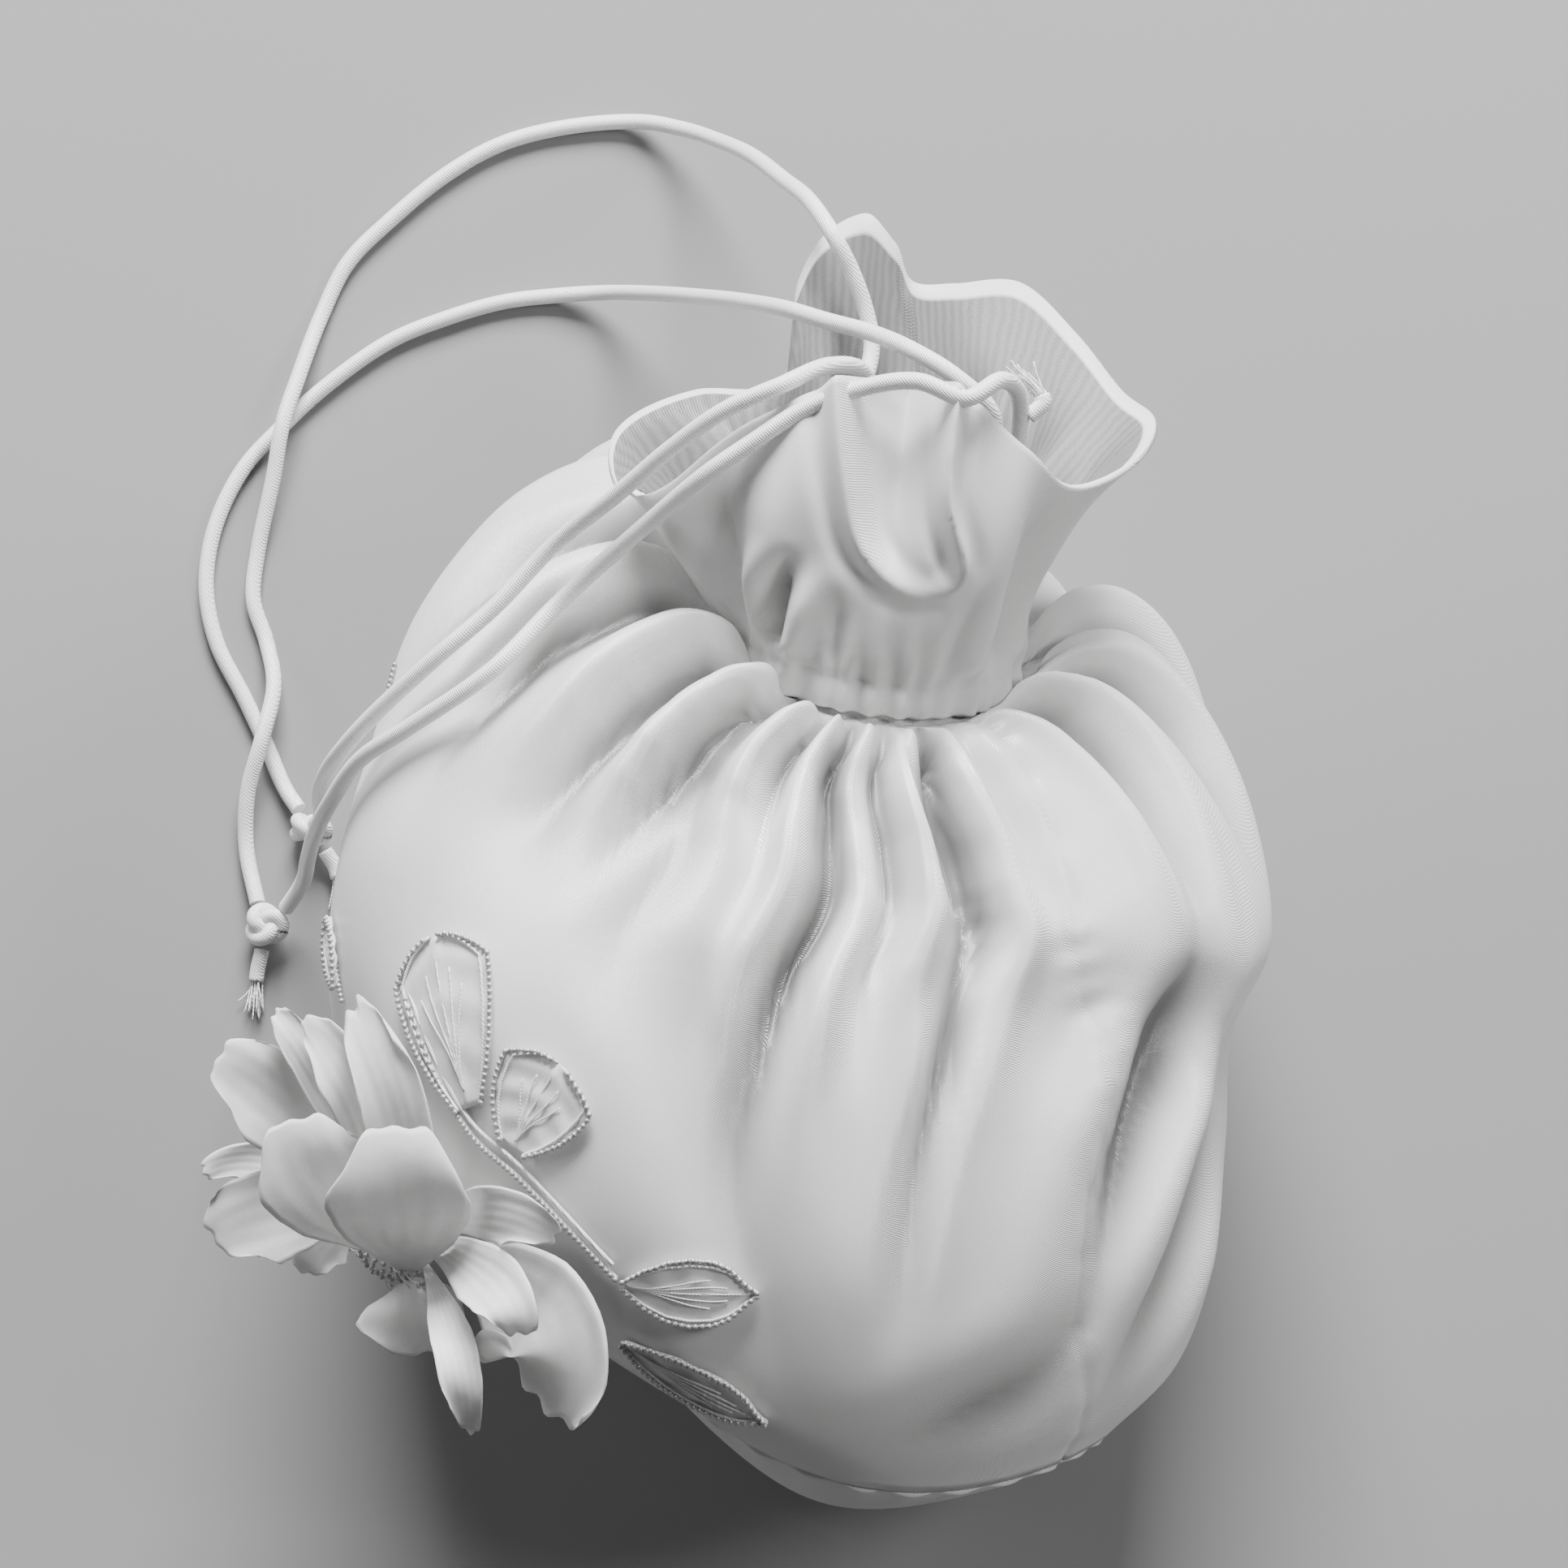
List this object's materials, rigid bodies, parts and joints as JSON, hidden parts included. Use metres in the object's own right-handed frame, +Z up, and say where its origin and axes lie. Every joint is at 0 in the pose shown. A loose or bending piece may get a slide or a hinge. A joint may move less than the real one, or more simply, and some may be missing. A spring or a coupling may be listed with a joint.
{
  "type": "drawstring reticule",
  "caption": "Small satin drawstring bag lying on its back: gathered round pouch, ruffled frill, knotted cords and an organza flower at the base",
  "frame": {"origin": "on the surface the bag lies on, under the middle of the pouch", "axes": "+Y from the base panel towards the frill's mouth, +Z up out of the resting surface, +X to the right of the pouch seen from above"},
  "size_m": [0.2102, 0.2636, 0.1359],
  "materials": {
    "satin": "ivory white satin with a soft sheen",
    "organza": "thin translucent white organza",
    "cord": "shiny white satin cord",
    "beads": "clear and silver seed beads"
  },
  "bodies": {
    "root": {"pouch_front": "satin", "pouch_back": "satin", "base_panel": "satin", "casing": "satin", "frill": "satin", "flower_receptacle": "beads", "petal_01": "organza", "petal_02": "organza", "petal_03": "organza", "petal_04": "organza", "petal_05": "organza", "petal_06": "organza", "petal_07": "organza", "petal_08": "organza", "petal_09": "organza", "petal_10": "organza", "petal_11": "organza", "petal_12": "organza", "petal_13": "organza", "petal_14": "organza", "leaf_upper": "organza", "leaf_middle": "organza", "leaf_lower": "organza", "leaf_base": "organza", "leaf_side": "organza", "stem": "beads", "cord_outer": "cord", "cord_inner": "cord", "strand_low": "cord", "strand_high": "cord", "knot_outer": "cord", "tail_outer": "cord", "knot_inner": "cord", "tail_inner": "cord", "tail_neck": "cord"}
  },
  "joints": []
}
